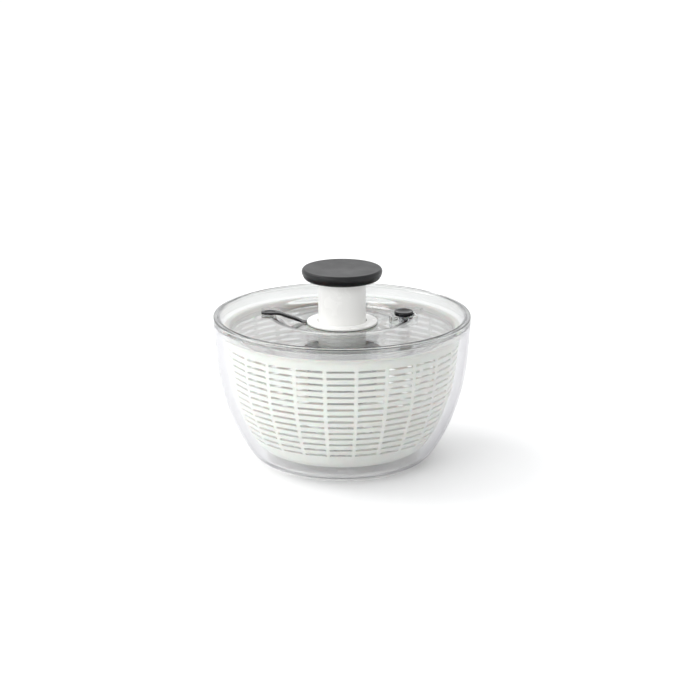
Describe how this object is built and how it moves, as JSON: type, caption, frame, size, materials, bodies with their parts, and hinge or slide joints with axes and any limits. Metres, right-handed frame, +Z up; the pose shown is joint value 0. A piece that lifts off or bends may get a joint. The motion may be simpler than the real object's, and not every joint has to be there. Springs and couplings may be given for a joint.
{
  "type": "salad spinner",
  "caption": "Round push-pump salad spinner: clear bowl, slotted white basket, flat clear lid with a pump knob, brake button and knob lock.",
  "frame": {"origin": "centre of the base, on the surface it stands on", "axes": "+Z up along the spin axis; -Y is the front; -X points to the knob lock and +X to the brake button"},
  "size_m": [0.2674, 0.2674, 0.2045],
  "materials": {
    "clear_plastic": "clear, glossy",
    "clear_soft_plastic": "translucent, satin",
    "white_plastic": "white, satin",
    "acetal": "natural white, satin",
    "soft_black": "soft, matt black",
    "gloss_black": "glossy black",
    "pad_rubber": "matt dark grey",
    "steel": "stainless"
  },
  "bodies": {
    "bowl": {"bowl": "clear_plastic", "non_slip_ring": "clear_soft_plastic"},
    "pivot": {"pivot_bush": "acetal"},
    "basket": {"basket": "white_plastic"},
    "lid": {"lid_cover": "clear_plastic", "collar": "white_plastic", "drive_housing": "white_plastic", "spindle_bearing": "acetal", "return_spring": "steel", "brake_spring": "steel", "housing_screw_1": "steel", "housing_screw_2": "steel", "housing_screw_3": "steel"},
    "plunger": {"plunger_tube": "white_plastic", "drive_nut": "acetal", "knob_core": "gloss_black", "knob_grip": "soft_black", "knob_screw": "steel"},
    "spindle": {"drive_spindle": "acetal", "spindle_washer": "steel", "spindle_screw": "steel", "clutch_spring": "steel"},
    "clutch": {"clutch_dog": "acetal"},
    "cover": {"basket_cover": "clear_plastic", "drive_hub": "white_plastic", "hub_screw_1": "steel", "hub_screw_2": "steel", "hub_screw_3": "steel"},
    "brake": {"brake_button": "gloss_black", "brake_pad": "pad_rubber"},
    "lock": {"lock_lever": "gloss_black"}
  },
  "joints": [
    {"name": "basket_lift", "type": "slide", "parent": "bowl", "child": "pivot", "axis": [0, 0, 1], "range_m": [0, 0.15]},
    {"name": "basket_spin", "type": "hinge", "parent": "pivot", "child": "basket", "pos_m": [0, 0, 0.014], "axis": [0, 0, 1], "continuous": true},
    {"name": "lid_lift", "type": "slide", "parent": "pivot", "child": "lid", "axis": [0, 0, 1], "range_m": [0, 0.09]},
    {"name": "plunger_press", "type": "slide", "parent": "lid", "child": "plunger", "axis": [0, 0, -1], "range_m": [0, 0.0435], "stiffness_N_per_m": 250, "springref_m": -0.03, "deforming": ["return_spring"]},
    {"name": "spindle_spin", "type": "hinge", "parent": "lid", "child": "spindle", "pos_m": [0, 0, 0.086], "axis": [0, 0, 1], "range_deg": [0, 541]},
    {"name": "clutch_engage", "type": "slide", "parent": "spindle", "child": "clutch", "axis": [0, 0, -1], "range_m": [0, 0.002], "stiffness_N_per_m": 300, "springref_m": -0.002, "deforming": ["clutch_spring"]},
    {"name": "cover_spin", "type": "hinge", "parent": "lid", "child": "cover", "pos_m": [0, 0, 0.069], "axis": [0, 0, 1], "continuous": true},
    {"name": "brake_press", "type": "slide", "parent": "lid", "child": "brake", "axis": [0, 0, -1], "range_m": [0, 0.0032], "stiffness_N_per_m": 800, "springref_m": -0.003, "deforming": ["brake_spring"]},
    {"name": "lock_slide", "type": "slide", "parent": "lid", "child": "lock", "axis": [1, 0, 0], "range_m": [0, 0.003]}
  ],
  "couplings": [
    {"joint": "spindle_spin", "follows": "plunger_press", "rad_per_m": 216.66},
    {"joint": "cover_spin", "follows": "basket_spin", "ratio": 1}
  ]
}
